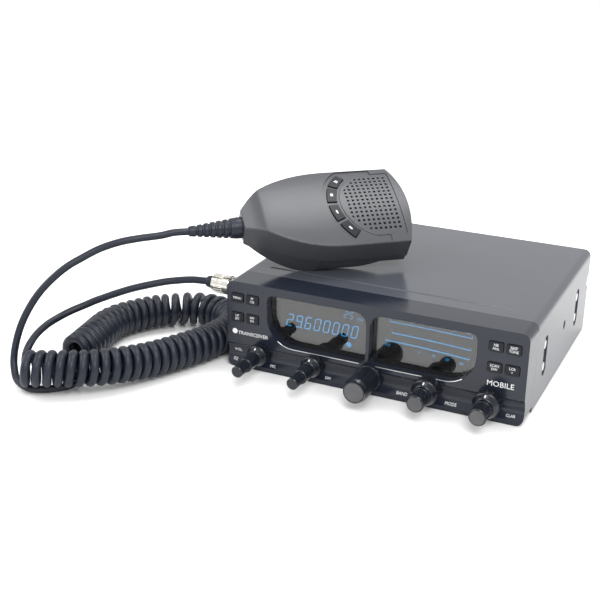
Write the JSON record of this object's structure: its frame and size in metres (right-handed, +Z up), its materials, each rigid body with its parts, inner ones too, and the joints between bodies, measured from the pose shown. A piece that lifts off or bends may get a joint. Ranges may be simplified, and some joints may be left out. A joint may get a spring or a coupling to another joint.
{
  "type": "mobile transceiver",
  "caption": "Low wide mobile radio with twin display windows, a row of knobs and push keys, and a palm microphone on a curly cord resting on its top cover.",
  "frame": {"origin": "middle of the underside of the case, on the surface it stands on", "axes": "+X to the right along the front panel, +Y from the front panel to the rear, +Z up"},
  "size_m": [0.3103, 0.2817, 0.1157],
  "materials": {
    "case_paint": "satin dark grey powder coat",
    "zinc_steel": "zinc plated sheet",
    "black_alloy": "black anodised",
    "bezel_plastic": "fine textured blue-black",
    "smoked_lens": "smoked, glossy",
    "display_glass": "dark display with lit blue figures",
    "circuit_board": "green solder mask",
    "paper_cone": "doped paper",
    "nickel": "nickel plate",
    "socket_plastic": "moulded black",
    "screw_steel": "bright plated",
    "knob_plastic": "soft matt black",
    "key_plastic": "matt black with white markings",
    "cord_rubber": "smooth black jacket",
    "mic_plastic": "satin dark grey"
  },
  "bodies": {
    "radio": {"top_cover": "case_paint", "bottom_cover": "case_paint", "chassis": "zinc_steel", "heat_sink": "black_alloy", "front_bezel": "bezel_plastic", "lens_left": "smoked_lens", "lens_right": "smoked_lens", "display_left": "display_glass", "display_right": "display_glass", "front_board": "circuit_board", "main_board": "circuit_board", "speaker_frame": "zinc_steel", "speaker_cone": "paper_cone", "speaker_magnet": "zinc_steel", "control_bodies": "nickel", "mic_socket": "nickel", "antenna_socket": "nickel", "power_inlet": "socket_plastic", "jack_sockets": "socket_plastic", "case_screws": "screw_steel", "mic_plug": "nickel", "plug_boot": "cord_rubber", "handset_lead": "cord_rubber", "curly_cord": "cord_rubber", "plug_lead": "cord_rubber"},
    "volume": {"volume_knob": "knob_plastic"},
    "squelch": {"squelch_ring": "knob_plastic"},
    "mic_gain": {"mic_gain_knob": "knob_plastic"},
    "rf_gain": {"rf_gain_ring": "knob_plastic"},
    "channel_button": {"channel_spindle": "nickel"},
    "channel": {"channel_knob": "knob_plastic"},
    "band": {"band_ring": "knob_plastic"},
    "mode": {"mode_knob": "knob_plastic"},
    "fine": {"fine_ring": "knob_plastic"},
    "clarifier": {"clarifier_knob": "knob_plastic"},
    "collar": {"plug_collar": "nickel"},
    "handset": {"handset_front_shell": "mic_plastic", "handset_rear_shell": "mic_plastic", "grille_plate": "mic_plastic", "strain_relief": "cord_rubber", "mic_element": "screw_steel", "handset_board": "circuit_board", "hang_stud": "screw_steel", "handset_screws": "screw_steel"},
    "ptt": {"ptt_lever": "knob_plastic"},
    "key_1": {"key_1": "key_plastic"},
    "key_2": {"key_2": "key_plastic"},
    "key_3": {"key_3": "key_plastic"},
    "key_4": {"key_4": "key_plastic"},
    "key_5": {"key_5": "key_plastic"},
    "key_6": {"key_6": "key_plastic"},
    "key_7": {"key_7": "key_plastic"},
    "key_8": {"key_8": "key_plastic"},
    "handset_key_1": {"handset_key_1": "key_plastic"},
    "handset_key_2": {"handset_key_2": "key_plastic"},
    "handset_key_3": {"handset_key_3": "key_plastic"},
    "handset_key_4": {"handset_key_4": "key_plastic"}
  },
  "joints": [
    {"name": "volume_turn", "type": "hinge", "parent": "radio", "child": "volume", "pos_m": [-0.0755, -0.095, 0.013], "axis": [0, -1, 0], "range_deg": [-150, 150]},
    {"name": "squelch_turn", "type": "hinge", "parent": "radio", "child": "squelch", "pos_m": [-0.0755, -0.095, 0.013], "axis": [0, -1, 0], "range_deg": [-150, 150]},
    {"name": "mic_gain_turn", "type": "hinge", "parent": "radio", "child": "mic_gain", "pos_m": [-0.037, -0.095, 0.013], "axis": [0, -1, 0], "range_deg": [-150, 150]},
    {"name": "rf_gain_turn", "type": "hinge", "parent": "radio", "child": "rf_gain", "pos_m": [-0.037, -0.095, 0.013], "axis": [0, -1, 0], "range_deg": [-150, 150]},
    {"name": "channel_press", "type": "slide", "parent": "radio", "child": "channel_button", "axis": [0, 1, 0], "range_m": [0, 0.0008], "stiffness_N_per_m": 600, "springref_m": -0.0008},
    {"name": "channel_turn", "type": "hinge", "parent": "channel_button", "child": "channel", "pos_m": [0.0015, -0.095, 0.013], "axis": [0, -1, 0], "continuous": true},
    {"name": "band_turn", "type": "hinge", "parent": "radio", "child": "band", "pos_m": [0.04, -0.095, 0.013], "axis": [0, -1, 0], "range_deg": [-75, 75]},
    {"name": "mode_turn", "type": "hinge", "parent": "radio", "child": "mode", "pos_m": [0.04, -0.095, 0.013], "axis": [0, -1, 0], "range_deg": [-75, 75]},
    {"name": "fine_turn", "type": "hinge", "parent": "radio", "child": "fine", "pos_m": [0.0785, -0.095, 0.013], "axis": [0, -1, 0], "range_deg": [-150, 150]},
    {"name": "clarifier_turn", "type": "hinge", "parent": "radio", "child": "clarifier", "pos_m": [0.0785, -0.095, 0.013], "axis": [0, -1, 0], "range_deg": [-150, 150]},
    {"name": "key_1_press", "type": "slide", "parent": "radio", "child": "key_1", "axis": [0, 1, 0], "range_m": [0, 0.0008], "stiffness_N_per_m": 400, "springref_m": -0.0005},
    {"name": "key_2_press", "type": "slide", "parent": "radio", "child": "key_2", "axis": [0, 1, 0], "range_m": [0, 0.0008], "stiffness_N_per_m": 400, "springref_m": -0.0005},
    {"name": "key_3_press", "type": "slide", "parent": "radio", "child": "key_3", "axis": [0, 1, 0], "range_m": [0, 0.0008], "stiffness_N_per_m": 400, "springref_m": -0.0005},
    {"name": "key_4_press", "type": "slide", "parent": "radio", "child": "key_4", "axis": [0, 1, 0], "range_m": [0, 0.0008], "stiffness_N_per_m": 400, "springref_m": -0.0005},
    {"name": "key_5_press", "type": "slide", "parent": "radio", "child": "key_5", "axis": [0, 1, 0], "range_m": [0, 0.0008], "stiffness_N_per_m": 400, "springref_m": -0.0005},
    {"name": "key_6_press", "type": "slide", "parent": "radio", "child": "key_6", "axis": [0, 1, 0], "range_m": [0, 0.0008], "stiffness_N_per_m": 400, "springref_m": -0.0005},
    {"name": "key_7_press", "type": "slide", "parent": "radio", "child": "key_7", "axis": [0, 1, 0], "range_m": [0, 0.0008], "stiffness_N_per_m": 400, "springref_m": -0.0005},
    {"name": "key_8_press", "type": "slide", "parent": "radio", "child": "key_8", "axis": [0, 1, 0], "range_m": [0, 0.0008], "stiffness_N_per_m": 400, "springref_m": -0.0005},
    {"name": "collar_turn", "type": "hinge", "parent": "radio", "child": "collar", "pos_m": [-0.109, -0.0745, 0.052], "axis": [-1, 0, 0], "range_deg": [-45, 0]},
    {"name": "handset_lift", "type": "slide", "parent": "radio", "child": "handset", "axis": [0, 0, 1], "range_m": [0, 0.04]},
    {"name": "ptt_press", "type": "hinge", "parent": "handset", "child": "ptt", "pos_m": [-0.07461, -0.00355, 0.10734], "axis": [0.3379, -0.3887, 0.8572], "range_deg": [0, 3.2], "stiffness_Nm_per_rad": 0.06, "springref_deg": -8.59},
    {"name": "handset_key_1_press", "type": "slide", "parent": "handset", "child": "handset_key_1", "axis": [-0.3379, 0.3887, -0.8572], "range_m": [0, 0.0007], "stiffness_N_per_m": 300, "springref_m": -0.0005},
    {"name": "handset_key_2_press", "type": "slide", "parent": "handset", "child": "handset_key_2", "axis": [-0.3379, 0.3887, -0.8572], "range_m": [0, 0.0007], "stiffness_N_per_m": 300, "springref_m": -0.0005},
    {"name": "handset_key_3_press", "type": "slide", "parent": "handset", "child": "handset_key_3", "axis": [-0.3379, 0.3887, -0.8572], "range_m": [0, 0.0007], "stiffness_N_per_m": 300, "springref_m": -0.0005},
    {"name": "handset_key_4_press", "type": "slide", "parent": "handset", "child": "handset_key_4", "axis": [-0.3379, 0.3887, -0.8572], "range_m": [0, 0.0007], "stiffness_N_per_m": 300, "springref_m": -0.0005}
  ]
}
